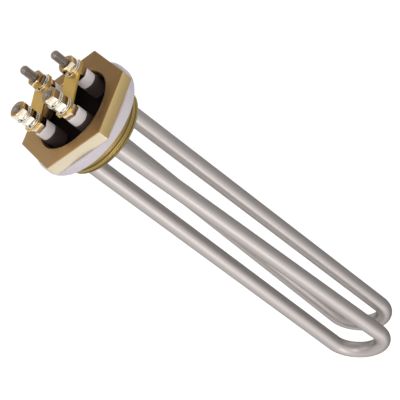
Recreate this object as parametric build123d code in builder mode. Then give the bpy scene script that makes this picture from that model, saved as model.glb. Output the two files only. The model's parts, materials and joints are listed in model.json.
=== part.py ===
from build123d import *
import os
from math import cos, radians, sin, sqrt, tan

# Screw-in immersion heater: a brass hexagon plug that carries two hairpin tubular elements,
# with the four terminal posts of the elements standing in a round cup in the plug's face.
# Millimetres. The origin is the centre of the sealing plane, where the gasket meets the tank boss.
# +Z points out of the tank, along the terminal posts, and the hairpins hang down -Z in the water.
# Each hairpin lies along X, one row in front of the other: front is -Y, right is +X.

# Screw plug with a parallel pipe thread of one and a quarter inch
thread_diameter = 41.91
thread_length = 9.2
thread_end_chamfer = 1.0
relief_depth = 1.655
hex_across_flats = 50.0
hex_thickness = 5.6
hex_turn = 16.0
cup_depth = 5.6
cup_wall_margin = 1.0
cup_rim_radius = 1.3
cup_floor_corner = 0.6
tube_edge_wall = 3.65
tube_hole_clearance = 0.05

# Gasket
gasket_thickness = 4.4
gasket_width = 5.6
gasket_edge_chamfer = 0.4
gasket_clearance = 0.15

# Hairpin elements
tube_diameter = 8.0
tube_wall = 0.8
immersed_length = 215.0
leg_bearing = 46.8
leg_splay = 1.3
row_lean = 0.55
kink_drop = 3.0
tube_stand = 6.6
braze_leg = 1.2

# Inside the elements
cold_pin_diameter = 2.6
cold_pin_reach = 32.0
coil_diameter = 4.0
coil_overlap = 6.0
seal_thickness = 1.5
packing_gap = 0.05

# Ceramic beads
bead_diameter = 7.6
bead_height = 5.2
bead_edge_chamfer = 0.5
bead_skirt_depth = 2.0
bead_clearance = 0.15

# M4 terminal hardware
stud_diameter = 4.0
stud_tip_chamfer = 0.5
stud_spare = 2.0
nut_across_flats = 7.0
nut_height = 3.2
nut_chamfer_angle = 30.0
thread_gap = 0.05
flat_washer_diameter = 9.0
flat_washer_thickness = 0.6
flat_washer_clearance = 0.15
spring_washer_diameter = 7.6
spring_washer_thickness = 0.9
spring_washer_clearance = 0.1
spring_washer_slit = 0.7
spring_washer_slit_angle = 20.0

# Jumper plates
jumper_width = 9.4
jumper_thickness = 1.0
jumper_corner = 2.0
jumper_hole_clearance = 0.15

# Places and sizes that follow from the driving dimensions
thread_radius = thread_diameter / 2
tube_radius = tube_diameter / 2
bore_radius = tube_radius - tube_wall
stud_radius = stud_diameter / 2
leg_circle = thread_radius - tube_edge_wall - tube_radius
leg_x = leg_circle * cos(radians(leg_bearing))
leg_y = leg_circle * sin(radians(leg_bearing))
cup_radius = leg_circle + tube_radius + cup_wall_margin
hex_bottom = gasket_thickness
hex_top = hex_bottom + hex_thickness
cup_floor = hex_top - cup_depth
tube_top = cup_floor + tube_stand
bead_top = tube_top + bead_height
jumper_bottom = bead_top + nut_height
clamp_washer_bottom = jumper_bottom + jumper_thickness
clamp_spring_bottom = clamp_washer_bottom + flat_washer_thickness
clamp_nut_bottom = clamp_spring_bottom + spring_washer_thickness
lead_washer_bottom = clamp_nut_bottom + nut_height
lead_spring_bottom = lead_washer_bottom + flat_washer_thickness
lead_nut_bottom = lead_spring_bottom + spring_washer_thickness
stud_tip = lead_nut_bottom + nut_height + stud_spare

# Terminal posts by place, each with the side and the row that it stands in
posts = {
    "front_right": (1, -1),
    "front_left": (-1, -1),
    "rear_right": (1, 1),
    "rear_left": (-1, 1),
}
rows = {"front": -1, "rear": 1}

os.makedirs("parts", exist_ok=True)


def keep(piece, name):
    """Labels a finished piece and writes its STEP file."""
    piece.part.label = name
    export_step(piece.part, f"parts/{name}.step")


def post_place(side, row):
    """Gives the X and Y of the post on one side of one row."""
    return side * leg_x, row * leg_y


def circles(piece, radius):
    """Picks the circular edges of one radius, from the lowest to the highest."""
    round_edges = piece.edges().filter_by(GeomType.CIRCLE)
    return round_edges.filter_by(lambda edge: abs(edge.radius - radius) < 1e-6).sort_by(Axis.Z)


def upright(x, y):
    """Gives the plane through a vertical axis in which turned profiles are drawn: X across, Z up."""
    return Plane(origin=(x, y, 0), x_dir=(1, 0, 0), z_dir=(0, -1, 0))


# Screw plug
with BuildPart() as plug_body:
    with BuildSketch(Plane.XY.offset(hex_bottom)):
        RegularPolygon(
            radius=hex_across_flats / 2, side_count=6, rotation=hex_turn, major_radius=False
        )
    extrude(amount=hex_thickness)
    with BuildSketch(Plane.XY.offset(hex_bottom)):
        Circle(thread_radius - relief_depth)
    extrude(amount=-gasket_thickness)
    with BuildSketch():
        Circle(thread_radius)
    extrude(amount=-thread_length)
    chamfer(plug_body.edges().group_by(Axis.Z)[0].filter_by(GeomType.CIRCLE), thread_end_chamfer)
    with BuildSketch(Plane.XY.offset(hex_top)):
        Circle(cup_radius)
    extrude(amount=-cup_depth, mode=Mode.SUBTRACT)
    fillet(circles(plug_body, cup_radius)[-1], cup_rim_radius)
    chamfer(circles(plug_body, cup_radius)[0], cup_floor_corner)
    with BuildSketch(Plane.XY.offset(hex_top)):
        with Locations(*(post_place(side, row) for side, row in posts.values())):
            Circle(tube_radius + tube_hole_clearance)
    extrude(amount=-(hex_top + thread_length), mode=Mode.SUBTRACT)
keep(plug_body, "plug_body")

# Sealing gasket, loose round the thread relief and bearing on the back of the hexagon
with BuildPart() as sealing_gasket:
    gasket_inner = thread_radius + gasket_clearance
    with BuildSketch():
        Circle(gasket_inner + gasket_width)
        Circle(gasket_inner, mode=Mode.SUBTRACT)
    extrude(amount=gasket_thickness)
    chamfer(circles(sealing_gasket, gasket_inner + gasket_width), gasket_edge_chamfer)
keep(sealing_gasket, "sealing_gasket")


# Hairpin route: straight down through the plug, a slight kink outwards, a long leg and the bend.
# Below the kinks the route is flat, in a plane tilted by row_lean towards the other row.
kink_z = -thread_length - kink_drop
plane_reach = (immersed_length - tube_radius + kink_z) / cos(radians(row_lean))
splay_sine, splay_cosine = sin(radians(leg_splay)), cos(radians(leg_splay))
splay_slope = splay_sine / splay_cosine
bend_radius = (leg_x + plane_reach * splay_slope) / (
    splay_cosine + splay_slope * (1 + splay_sine)
)
bend_centre_drop = plane_reach - bend_radius
tangent_x = bend_radius * splay_cosine
tangent_drop = bend_centre_drop - bend_radius * splay_sine
leg_length = sqrt((tangent_x - leg_x) ** 2 + tangent_drop**2)


def in_row(row, x, drop):
    """Gives the point of a row's tilted plane at an X and a distance down the plane."""
    return Vector(
        x,
        row * (leg_y - drop * sin(radians(row_lean))),
        kink_z - drop * cos(radians(row_lean)),
    )


def leg_point(side, row, reach):
    """Gives the point at a distance along a leg from its kink."""
    kink = in_row(row, side * leg_x, 0)
    return kink + (in_row(row, side * tangent_x, tangent_drop) - kink).normalized() * reach


def leg_route(side, row, top, reach):
    """Draws one leg from a height in the plug, past its kink, to a distance along the leg."""
    kink = leg_point(side, row, 0)
    Line(Vector(kink.X, kink.Y, top), kink)
    Line(kink, leg_point(side, row, reach))


def bend_route(row):
    """Draws the round bend at the foot of a hairpin, from the right leg to the left one."""
    ThreePointArc(
        in_row(row, tangent_x, tangent_drop),
        in_row(row, 0, bend_centre_drop + bend_radius),
        in_row(row, -tangent_x, tangent_drop),
    )


def ring_at(x, y, z, outer, inner=0.0):
    """Draws a level ring or disc, the section that a route carries."""
    with BuildSketch(Plane((x, y, z))) as section:
        Circle(outer)
        if inner:
            Circle(inner, mode=Mode.SUBTRACT)
    return section.sketch


fill_top = tube_top - bead_skirt_depth - seal_thickness
for name, row in rows.items():
    with BuildLine() as full_route:
        leg_route(1, row, tube_top, leg_length)
        bend_route(row)
        leg_route(-1, row, tube_top, leg_length)
    with BuildLine() as fill_route:
        leg_route(1, row, fill_top, leg_length)
        bend_route(row)
        leg_route(-1, row, fill_top, leg_length)
    coil_start = {side: leg_point(side, row, cold_pin_reach - coil_overlap) for side in (1, -1)}
    coil_way = (leg_point(1, row, leg_length) - coil_start[1]).normalized()
    with BuildLine() as coil_route:
        Line(coil_start[1], leg_point(1, row, leg_length))
        bend_route(row)
        Line(leg_point(-1, row, leg_length), coil_start[-1])

    with BuildPart() as sheath:
        start = post_place(1, row)
        sweep(
            ring_at(*start, tube_top, tube_radius, bore_radius),
            path=full_route.wire(),
            transition=Transition.RIGHT,
        )
    keep(sheath, f"{name}_element_sheath")

    # The winding at its outer size, bored at both ends where it is threaded on to the cold pins
    with BuildPart() as coil:
        with BuildSketch(Plane(coil_start[1], z_dir=coil_way)):
            Circle(coil_diameter / 2)
        sweep(path=coil_route.wire())
        for side in (1, -1):
            way = (leg_point(side, row, leg_length) - coil_start[side]).normalized()
            with BuildSketch(Plane(coil_start[side], z_dir=way)):
                Circle(cold_pin_diameter / 2 + packing_gap)
            extrude(amount=coil_overlap + packing_gap, mode=Mode.SUBTRACT)
    keep(coil, f"{name}_heating_coil")

    # The powder fills the tube round the pins and the winding
    with BuildPart() as fill:
        sweep(
            ring_at(*start, fill_top, bore_radius - packing_gap),
            path=fill_route.wire(),
            transition=Transition.RIGHT,
        )
        for side in (1, -1):
            place = post_place(side, row)
            with BuildLine() as pin_route:
                leg_route(side, row, fill_top, cold_pin_reach - coil_overlap)
            sweep(
                ring_at(*place, fill_top, cold_pin_diameter / 2 + packing_gap),
                path=pin_route.wire(),
                transition=Transition.RIGHT,
                mode=Mode.SUBTRACT,
            )
        with BuildSketch(Plane(coil_start[1], z_dir=coil_way)) as winding_space:
            Circle(coil_diameter / 2 + packing_gap)
        sweep(winding_space.sketch, path=coil_route.wire(), mode=Mode.SUBTRACT)
    keep(fill, f"{name}_magnesia_fill")

# Brazed joints round the tubes on the water side of the plug
with BuildPart() as braze_fillets:
    for side, row in posts.values():
        x, y = post_place(side, row)
        with BuildSketch(upright(x, y)):
            inner = tube_radius + tube_hole_clearance
            with BuildLine():
                Polyline(
                    (inner, -thread_length),
                    (inner + braze_leg, -thread_length),
                    (inner, -thread_length - braze_leg),
                    close=True,
                )
            make_face()
        revolve(axis=Axis((x, y, 0), (0, 0, 1)))
keep(braze_fillets, "braze_fillets")


def washer(x, y, bottom, outer, bore, thickness):
    """Makes a flat ring that lies on a level."""
    with BuildPart() as ring:
        with BuildSketch(Plane((x, y, bottom))):
            Circle(outer)
            Circle(bore, mode=Mode.SUBTRACT)
        extrude(amount=thickness)
    return ring


def spring_washer(x, y, bottom):
    """Makes a split lock washer, pressed flat as it is under a tightened nut."""
    with BuildPart() as ring:
        with BuildSketch(Plane((x, y, bottom))):
            Circle(spring_washer_diameter / 2)
            Circle(stud_radius + spring_washer_clearance, mode=Mode.SUBTRACT)
        extrude(amount=spring_washer_thickness)
        slit_plane = Plane((x, y, bottom), x_dir=(0, -1, 0), z_dir=(-1, 0, 0))
        slant = spring_washer_thickness * tan(radians(spring_washer_slit_angle))
        with BuildSketch(slit_plane):
            with BuildLine():
                Polyline(
                    (-spring_washer_slit / 2, 0),
                    (spring_washer_slit / 2, 0),
                    (spring_washer_slit / 2 + slant, spring_washer_thickness),
                    (-spring_washer_slit / 2 + slant, spring_washer_thickness),
                    close=True,
                )
            make_face()
        extrude(amount=spring_washer_diameter, mode=Mode.SUBTRACT)
    return ring


def hex_nut(x, y, bottom, turn):
    """Makes a hexagon nut, its corners turned off at the upper face."""
    flat = nut_across_flats / 2
    corner = flat / cos(radians(30))
    reach = corner + 0.5
    drop = (reach - flat) * tan(radians(nut_chamfer_angle))
    with BuildPart() as nut:
        with BuildSketch(Plane((x, y, bottom))):
            RegularPolygon(radius=corner, side_count=6, rotation=turn)
            Circle(stud_radius + thread_gap, mode=Mode.SUBTRACT)
        extrude(amount=nut_height)
        with BuildSketch(upright(x, y)):
            with BuildLine():
                Polyline(
                    (0, bottom),
                    (reach, bottom),
                    (reach, bottom + nut_height - drop),
                    (flat, bottom + nut_height),
                    (0, bottom + nut_height),
                    close=True,
                )
            make_face()
        revolve(axis=Axis((x, y, 0), (0, 0, 1)), mode=Mode.INTERSECT)
    return nut


# Terminal posts: pin, seal, bead and fastenings of each leg
nut_turns = {"front_right": 12.0, "front_left": 40.0, "rear_right": 25.0, "rear_left": 52.0}
for name, (side, row) in posts.items():
    x, y = post_place(side, row)
    axis = Axis((x, y, 0), (0, 0, 1))
    turn = nut_turns[name]

    with BuildPart() as terminal_pin:
        with BuildLine() as pin_route:
            leg_route(side, row, tube_top, cold_pin_reach)
        sweep(
            ring_at(x, y, tube_top, cold_pin_diameter / 2),
            path=pin_route.wire(),
            transition=Transition.RIGHT,
        )
        with BuildSketch(Plane((x, y, tube_top))):
            Circle(stud_radius)
        extrude(amount=stud_tip - tube_top)
        chamfer(terminal_pin.edges().sort_by(Axis.Z)[-1], stud_tip_chamfer)
    keep(terminal_pin, f"terminal_pin_{name}")

    seal_bottom = tube_top - bead_skirt_depth - seal_thickness
    end_seal = washer(
        x, y, seal_bottom, bore_radius - packing_gap, cold_pin_diameter / 2 + packing_gap, seal_thickness
    )
    keep(end_seal, f"end_seal_{name}")

    # The bead stands on the tube's mouth, with a skirt that goes down into it
    with BuildPart() as ceramic_bead:
        with BuildSketch(upright(x, y)):
            with BuildLine():
                Polyline(
                    (cold_pin_diameter / 2 + bead_clearance, tube_top - bead_skirt_depth),
                    (bore_radius - bead_clearance, tube_top - bead_skirt_depth),
                    (bore_radius - bead_clearance, tube_top),
                    (bead_diameter / 2, tube_top),
                    (bead_diameter / 2, bead_top),
                    (stud_radius + bead_clearance, bead_top),
                    (stud_radius + bead_clearance, tube_top - bead_clearance),
                    (cold_pin_diameter / 2 + bead_clearance, tube_top - bead_clearance),
                    close=True,
                )
            make_face()
        revolve(axis=axis)
        chamfer(circles(ceramic_bead, bead_diameter / 2), bead_edge_chamfer)
    keep(ceramic_bead, f"ceramic_bead_{name}")

    keep(hex_nut(x, y, bead_top, turn), f"under_nut_{name}")
    flat_bore = stud_radius + flat_washer_clearance
    keep(
        washer(x, y, clamp_washer_bottom, flat_washer_diameter / 2, flat_bore, flat_washer_thickness),
        f"clamp_washer_{name}",
    )
    keep(spring_washer(x, y, clamp_spring_bottom), f"clamp_spring_washer_{name}")
    keep(hex_nut(x, y, clamp_nut_bottom, turn + 20), f"clamp_nut_{name}")

    # Only the front posts carry a second nut, for the supply lead
    if row == rows["front"]:
        keep(
            washer(x, y, lead_washer_bottom, flat_washer_diameter / 2, flat_bore, flat_washer_thickness),
            f"lead_washer_{name}",
        )
        keep(spring_washer(x, y, lead_spring_bottom), f"lead_spring_washer_{name}")
        keep(hex_nut(x, y, lead_nut_bottom, turn + 35), f"lead_nut_{name}")

# Jumper plates, each from a front post to the rear post behind it
for name, side in {"right": 1, "left": -1}.items():
    with BuildPart() as jumper_plate:
        with BuildSketch(Plane((side * leg_x, 0, jumper_bottom))) as outline:
            Rectangle(jumper_width, 2 * leg_y + jumper_width)
            chamfer(outline.vertices(), jumper_corner)
            with Locations((0, leg_y), (0, -leg_y)):
                Circle(stud_radius + jumper_hole_clearance, mode=Mode.SUBTRACT)
        extrude(amount=jumper_thickness)
    keep(jumper_plate, f"jumper_plate_{name}")
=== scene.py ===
"""Looks of a screw-in immersion heater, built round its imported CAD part.

The row frame is used throughout: the origin is the centre of the sealing plane, +Z points out of the
tank along the terminal studs and the hairpins hang down -Z. Sizes are given in millimetres and turned
into metres where a mesh is made.
"""

import json
import logging
from dataclasses import dataclass, field
from enum import Enum

import bmesh
import bpy
import numpy as np
from mathutils import Matrix, Vector


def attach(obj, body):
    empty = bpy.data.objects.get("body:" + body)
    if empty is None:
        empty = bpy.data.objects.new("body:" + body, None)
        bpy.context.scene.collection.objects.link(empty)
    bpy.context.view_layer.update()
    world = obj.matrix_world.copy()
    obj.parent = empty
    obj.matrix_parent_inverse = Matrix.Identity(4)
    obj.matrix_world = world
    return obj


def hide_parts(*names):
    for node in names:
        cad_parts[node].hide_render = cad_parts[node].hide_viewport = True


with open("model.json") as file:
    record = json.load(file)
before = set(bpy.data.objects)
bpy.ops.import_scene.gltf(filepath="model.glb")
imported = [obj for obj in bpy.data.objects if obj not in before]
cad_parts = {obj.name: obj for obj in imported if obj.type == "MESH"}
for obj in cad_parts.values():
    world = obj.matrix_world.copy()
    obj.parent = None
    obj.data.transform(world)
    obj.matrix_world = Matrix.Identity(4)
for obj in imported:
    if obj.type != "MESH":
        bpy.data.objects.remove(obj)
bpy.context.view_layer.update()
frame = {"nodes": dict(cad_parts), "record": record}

log = logging.getLogger("immersion_heater")

MM = 0.001
TAU = 2 * np.pi


class Side(Enum):
    """Side of the heater that a leg stands on, as the sign of its X."""

    RIGHT = 1
    LEFT = -1


class Row(Enum):
    """Row of legs, as the sign of its Y."""

    FRONT = -1
    REAR = 1


# Shapes


@dataclass
class Grid:
    """A surface as a grid of points, with the two numbers that a pattern can follow on it.

    Attributes:
        points: Places in millimetres, rows by columns by three.
        round_rows: Whether the last row joins the first.
        round_columns: Whether the last column joins the first.
        across: Pattern number of each column, one more of them where the columns are round.
        along: Pattern number of each row, one more of them where the rows are round.
    """

    points: np.ndarray
    round_rows: bool = False
    round_columns: bool = False
    across: np.ndarray | None = None
    along: np.ndarray | None = None

    def faces(self) -> tuple[np.ndarray, np.ndarray]:
        """Joins each four neighbours of the grid into a face.

        Returns:
            Vertex numbers of the faces, and the pattern numbers at their corners.
        """
        rows, columns = self.points.shape[:2]
        i = np.arange(rows if self.round_rows else rows - 1)
        j = np.arange(columns if self.round_columns else columns - 1)
        i, j = np.meshgrid(i, j, indexing="ij")
        corner_i = np.stack((i, i + 1, i + 1, i), -1).reshape(-1, 4)
        corner_j = np.stack((j, j, j + 1, j + 1), -1).reshape(-1, 4)
        across = np.arange(columns + 1.0) if self.across is None else self.across
        along = np.arange(rows + 1.0) if self.along is None else self.along
        numbers = (corner_i % rows) * columns + corner_j % columns
        return numbers, np.stack((across[corner_j], along[corner_i]), -1)


def rounded(corners: np.ndarray, radii: list[float], steps: int = 5) -> np.ndarray:
    """Rounds the corners of a profile.

    At each corner an arc of the given radius touches both of its edges: its centre lies on the line that
    halves the corner's angle, as far out as the radius over the sine of half the angle.

    Args:
        corners: Corner places as radius and height, corners by columns by two, closed on itself.
        radii: Radius of the arc at each corner, 0 for a sharp one.
        steps: Points on each arc.

    Returns:
        Places on the rounded profile, corners times steps by columns by two.
    """
    before = np.roll(corners, 1, axis=0) - corners
    after = np.roll(corners, -1, axis=0) - corners
    before /= np.linalg.norm(before, axis=-1, keepdims=True)
    after /= np.linalg.norm(after, axis=-1, keepdims=True)
    radius = np.asarray(radii, float)[:, None, None]
    half = np.arccos(np.clip((before * after).sum(-1, keepdims=True), -1, 1)) / 2
    middle = before + after
    middle /= np.maximum(np.linalg.norm(middle, axis=-1, keepdims=True), 1e-9)
    centre = corners + middle * radius / np.maximum(np.sin(half), 1e-6)
    reach = radius / np.maximum(np.tan(half), 1e-6)
    start = corners + before * reach - centre
    end = corners + after * reach - centre
    first = np.arctan2(start[..., 1], start[..., 0])
    turn = (np.arctan2(end[..., 1], end[..., 0]) - first + np.pi) % TAU - np.pi
    share = np.linspace(0, 1, steps)[:, None, None]
    angle = first + share * turn
    arc = centre + radius * np.stack((np.cos(angle), np.sin(angle)), -1)
    return arc.transpose(1, 0, 2, 3).reshape(-1, corners.shape[1], 2)


def turned(profile: np.ndarray, x: float, y: float, angles: np.ndarray, **kwargs) -> Grid:
    """Carries a profile round a vertical axis: each point goes to radius times cosine and sine.

    Args:
        profile: Places as radius and height, rows by one or by as many columns as angles, by two.
        x: X of the axis.
        y: Y of the axis.
        angles: Angle of each column, in radians.
        **kwargs: Further fields of the grid.

    Returns:
        The grid, its columns round.
    """
    radius, height = profile[..., 0], profile[..., 1]
    points = np.stack(
        (
            x + radius * np.cos(angles),
            y + radius * np.sin(angles),
            height + 0 * angles,
        ),
        -1,
    )
    return Grid(points, round_columns=True, **kwargs)


def turned_ring(
    corners: list[tuple[float, float, float]], x: float, y: float, columns: int
) -> Grid:
    """Turns a closed profile with rounded corners about a vertical axis.

    Args:
        corners: Radius, height and arc radius of each corner.
        x: X of the axis.
        y: Y of the axis.
        columns: Steps round the axis.

    Returns:
        The closed ring.
    """
    table = np.array(corners)
    profile = rounded(table[:, None, :2], list(table[:, 2]))
    angles = np.linspace(0, TAU, columns, endpoint=False)
    return turned(profile, x, y, angles, round_rows=True)


def hexagon_angles(corner_radius_share: float, turn: float, flat: int = 9, arc: int = 5) -> np.ndarray:
    """Angles for a rounded hexagon, with more of them at its corners.

    Args:
        corner_radius_share: Radius of the corners over half the width across flats.
        turn: Angle of one corner, in radians.
        flat: Angles on each flat.
        arc: Angles on each corner.

    Returns:
        The angles of all columns, in radians.
    """
    edge = np.arctan((1 - corner_radius_share) * np.tan(np.pi / 6))
    on_flat = np.linspace(-edge, edge, flat)
    on_arc = np.linspace(edge, np.pi / 3 - edge, arc + 2)[1:-1]
    sector = np.concatenate((on_flat, on_arc))
    starts = turn + np.pi / 6 + np.arange(6) * np.pi / 3
    return (starts[:, None] + sector).ravel()


def hexagon_radius(angles: np.ndarray, flat_radius: float, corner_radius: float, turn: float) -> np.ndarray:
    """Distance of a rounded hexagon's edge from its centre.

    On a flat it is half the width across flats over the cosine of the angle from the flat's middle. At a
    corner it is where the ray meets the circle of the corner's radius, whose centre lies in the corner.

    Args:
        angles: Directions, in radians.
        flat_radius: Half the width across flats.
        corner_radius: Radius of the corners.
        turn: Angle of one corner, in radians.

    Returns:
        The distance in each direction.
    """
    from_corner = (angles - turn + np.pi / 6) % (np.pi / 3) - np.pi / 6
    from_flat = np.pi / 6 - np.abs(from_corner)
    centre = (flat_radius - corner_radius) / np.cos(np.pi / 6)
    inside = np.maximum(corner_radius**2 - (centre * np.sin(from_corner)) ** 2, 0)
    at_corner = centre * np.cos(from_corner) + np.sqrt(inside)
    edge = np.arctan((flat_radius - corner_radius) * np.tan(np.pi / 6) / flat_radius)
    return np.where(from_flat <= edge, flat_radius / np.cos(from_flat), at_corner)


def thread_drop(height: np.ndarray, angles: np.ndarray, pitch: float, depth: float) -> np.ndarray:
    """Depth of a right-handed thread below its crest, with rounded crests and roots.

    The turn number at a place is its height over the pitch less its angle over a full turn. A triangle
    wave of that number is pressed flat at both ends by a hyperbolic tangent.

    Args:
        height: Heights, as a column of rows.
        angles: Angles of the columns, in radians.
        pitch: Rise of one turn.
        depth: Crest to root.

    Returns:
        Depth below the crest, rows by columns.
    """
    share = (height / pitch - angles / TAU) % 1
    wave = 4 * np.abs(share - 0.5) - 1
    return depth * (0.5 + 0.5 * np.tanh(2.2 * wave) / np.tanh(2.2))


def swept(centres: np.ndarray, ways: np.ndarray, side: np.ndarray, radii: np.ndarray, columns: int, **kwargs) -> Grid:
    """Carries a circle along a path: centre plus radius times cosine of one cross axis and sine of the other.

    Args:
        centres: Places on the path, rows by three.
        ways: Direction of the path at each place.
        side: Direction that is kept to one side of the whole path.
        radii: Radius at each place.
        columns: Steps round the path.
        **kwargs: Further fields of the grid.

    Returns:
        The grid, its columns round.
    """
    ways = ways / np.linalg.norm(ways, axis=1, keepdims=True)
    first = side - (ways @ side)[:, None] * ways
    first /= np.linalg.norm(first, axis=1, keepdims=True)
    second = np.cross(ways, first)
    angles = np.linspace(0, TAU, columns, endpoint=False)[:, None]
    rings = np.cos(angles) * first[:, None] + np.sin(angles) * second[:, None]
    return Grid(centres[:, None] + radii[:, None, None] * rings, round_columns=True, **kwargs)


@dataclass
class Piece:
    """One visible piece, and the CAD node that it stands for.

    Attributes:
        name: Name of the object.
        node: CAD node that it replaces.
        slot: Material slot of the record; not used.
        finish: Its material.
        grids: Surfaces that make it up.
        sharp_angle: Edges that turn by more than this many degrees look sharp.
        bevel: Width in millimetres by which its sharp edges are broken, 0 for none.
    """

    name: str
    node: str
    slot: str
    finish: bpy.types.Material
    grids: list[Grid]
    sharp_angle: float = 38.0
    bevel: float = 0.0

    def build(self) -> bpy.types.Object:
        """Makes the object, closes its seams and poles, and lets it ride on the frame.

        Returns:
            The finished object.
        """
        points, faces, numbers, count = [], [], [], 0
        for grid in self.grids:
            corners, pattern = grid.faces()
            points.append(grid.points.reshape(-1, 3) * MM)
            faces.append(corners + count)
            numbers.append(pattern.reshape(-1, 2))
            count += len(points[-1])
        mesh = bpy.data.meshes.new(self.name)
        mesh.from_pydata(np.concatenate(points), [], np.concatenate(faces))
        layer = mesh.uv_layers.new(name="run")
        layer.data.foreach_set("uv", np.concatenate(numbers).astype(np.float32).ravel())
        shell = bmesh.new()
        shell.from_mesh(mesh)
        bmesh.ops.remove_doubles(shell, verts=shell.verts, dist=1e-6)
        bmesh.ops.dissolve_degenerate(shell, edges=shell.edges, dist=1e-7)
        bmesh.ops.recalc_face_normals(shell, faces=shell.faces)
        shell.to_mesh(mesh)
        shell.free()
        mesh.shade_smooth()
        mesh.set_sharp_from_angle(angle=np.radians(self.sharp_angle))
        mesh.materials.append(self.finish)
        made = bpy.data.objects.new(self.name, mesh)
        bpy.context.scene.collection.objects.link(made)
        if self.bevel:
            broken = made.modifiers.new("broken_edges", "BEVEL")
            broken.width = self.bevel * MM
            broken.segments = 2
            broken.limit_method = "ANGLE"
            broken.angle_limit = np.radians(self.sharp_angle)
        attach(made, "root")
        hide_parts(self.node)
        log.info("%s: %d faces, for %s", self.name, len(mesh.polygons), self.node)
        return made


# Materials


def linear(colour: str) -> tuple[float, float, float, float]:
    """Turns an sRGB hex colour into linear light, by the two-part curve of sRGB."""
    value = np.array([int(colour[i : i + 2], 16) for i in (1, 3, 5)]) / 255
    value = np.where(value <= 0.04045, value / 12.92, ((value + 0.055) / 1.055) ** 2.4)
    return (*value.tolist(), 1.0)


def add(tree: bpy.types.NodeTree, kind: str, settings: dict | None = None, links: dict | None = None) -> bpy.types.Node:
    """Adds a node.

    Args:
        tree: Node tree that it goes into.
        kind: Blender's name of the node.
        settings: Values of its sockets, or of its own properties, by name. Sockets go by number too.
        links: For each socket, the node and the output that feed it.

    Returns:
        The node.
    """
    node = tree.nodes.new(kind)
    for key, value in (settings or {}).items():
        if isinstance(key, int) or key in node.inputs:
            node.inputs[key].default_value = value
        else:
            setattr(node, key, value)
    for key, (source, output) in (links or {}).items():
        tree.links.new(source.outputs[output], node.inputs[key])
    return node


@dataclass(frozen=True)
class Finish:
    """A plain finish, the parent of all others.

    Attributes:
        name: Name of the material.
        colour: Base colour as sRGB hex.
        metallic: 1 for metal, 0 for the rest.
        roughness: Roughness of the surface.
    """

    name: str
    colour: str
    metallic: float = 0.0
    roughness: float = 0.5

    def material(self) -> bpy.types.Material:
        """Makes the material.

        Returns:
            The material, its nodes set.
        """
        made = bpy.data.materials.new(self.name)
        made.use_nodes = True
        tree = made.node_tree
        tree.nodes.clear()
        surface = add(
            tree,
            "ShaderNodeBsdfPrincipled",
            {"Base Color": linear(self.colour), "Metallic": self.metallic, "Roughness": self.roughness},
        )
        self.dress(tree, surface)
        add(tree, "ShaderNodeOutputMaterial", links={"Surface": (surface, "BSDF")})
        return made

    def dress(self, tree: bpy.types.NodeTree, surface: bpy.types.Node) -> None:
        """Adds what this finish has beyond its plain colour. A plain finish has nothing more."""


@dataclass(frozen=True)
class Mottled(Finish):
    """A finish whose colour and roughness wander a little, with a fine grain.

    Attributes:
        second: Colour that the first one wanders to, as sRGB hex.
        patch_mm: Size of the patches of colour.
        grain_mm: Size of the grain.
        grain_height_mm: Height of the grain.
        roughness_spread: How far the roughness wanders to either side.
        edge: Brightness of a metal's glancing reflections, 1 for clean metal.
    """

    second: str = "#ffffff"
    patch_mm: float = 6.0
    grain_mm: float = 0.3
    grain_height_mm: float = 0.004
    roughness_spread: float = 0.06
    edge: float = 1.0

    def dress(self, tree: bpy.types.NodeTree, surface: bpy.types.Node) -> None:
        """Adds the patches, the grain and the wandering gloss.

        Args:
            tree: Node tree of the material.
            surface: Its shader.
        """
        place = add(tree, "ShaderNodeTexCoord")
        patches = add(
            tree,
            "ShaderNodeTexNoise",
            {"Scale": 1 / (self.patch_mm * MM), "Detail": 4.0, "Roughness": 0.6},
            {"Vector": (place, "Object")},
        )
        blend = add(
            tree,
            "ShaderNodeMix",
            {"data_type": "RGBA", 6: linear(self.colour), 7: linear(self.second)},
            {0: (patches, "Fac")},
        )
        tree.links.new(blend.outputs[2], surface.inputs["Base Color"])
        gloss = add(
            tree,
            "ShaderNodeMapRange",
            {
                "From Min": 0.3,
                "From Max": 0.7,
                "To Min": self.roughness - self.roughness_spread,
                "To Max": self.roughness + self.roughness_spread,
            },
            {"Value": (patches, "Fac")},
        )
        tree.links.new(gloss.outputs["Result"], surface.inputs["Roughness"])
        grain = add(
            tree,
            "ShaderNodeTexNoise",
            {"Scale": 1 / (self.grain_mm * MM), "Detail": 2.0},
            {"Vector": (place, "Object")},
        )
        relief = add(
            tree,
            "ShaderNodeBump",
            {"Distance": self.grain_height_mm * MM, "Strength": 1.0},
            {"Height": (grain, "Fac")},
        )
        tree.links.new(relief.outputs["Normal"], surface.inputs["Normal"])
        surface.inputs["Specular Tint"].default_value = (self.edge, self.edge, self.edge, 1.0)


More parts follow.
